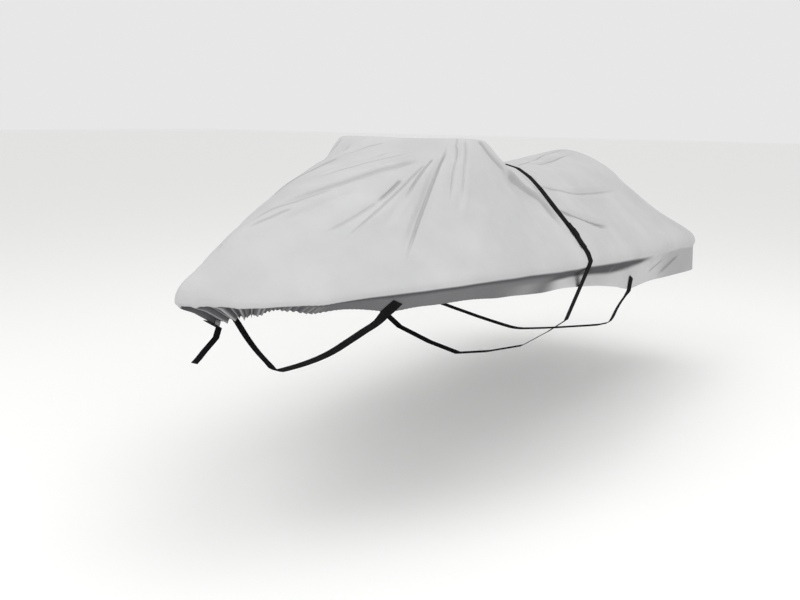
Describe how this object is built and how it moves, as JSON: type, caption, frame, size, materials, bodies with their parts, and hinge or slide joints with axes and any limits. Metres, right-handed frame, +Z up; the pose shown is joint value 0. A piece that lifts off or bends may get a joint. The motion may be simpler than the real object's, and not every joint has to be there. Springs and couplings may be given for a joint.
{
  "type": "boat cover",
  "caption": "Fitted grey cloth cover for a personal watercraft, with a raised hood over the handlebars, an elastic hem and black webbing hold-down straps.",
  "frame": {"origin": "under the top of the hood, on the inner face of the cloth at the centreline", "axes": "+X towards the bow, +Y to port, +Z up"},
  "size_m": [3.3774, 1.236, 0.9666],
  "materials": {
    "cloth": "matte",
    "webbing": "matte",
    "buckle": "satin"
  },
  "bodies": {
    "root": {"cover": "cloth", "front_strap": "webbing", "mid_strap": "webbing", "mid_buckle": "buckle", "rear_strap": "webbing", "bow_strap": "webbing"}
  },
  "joints": []
}
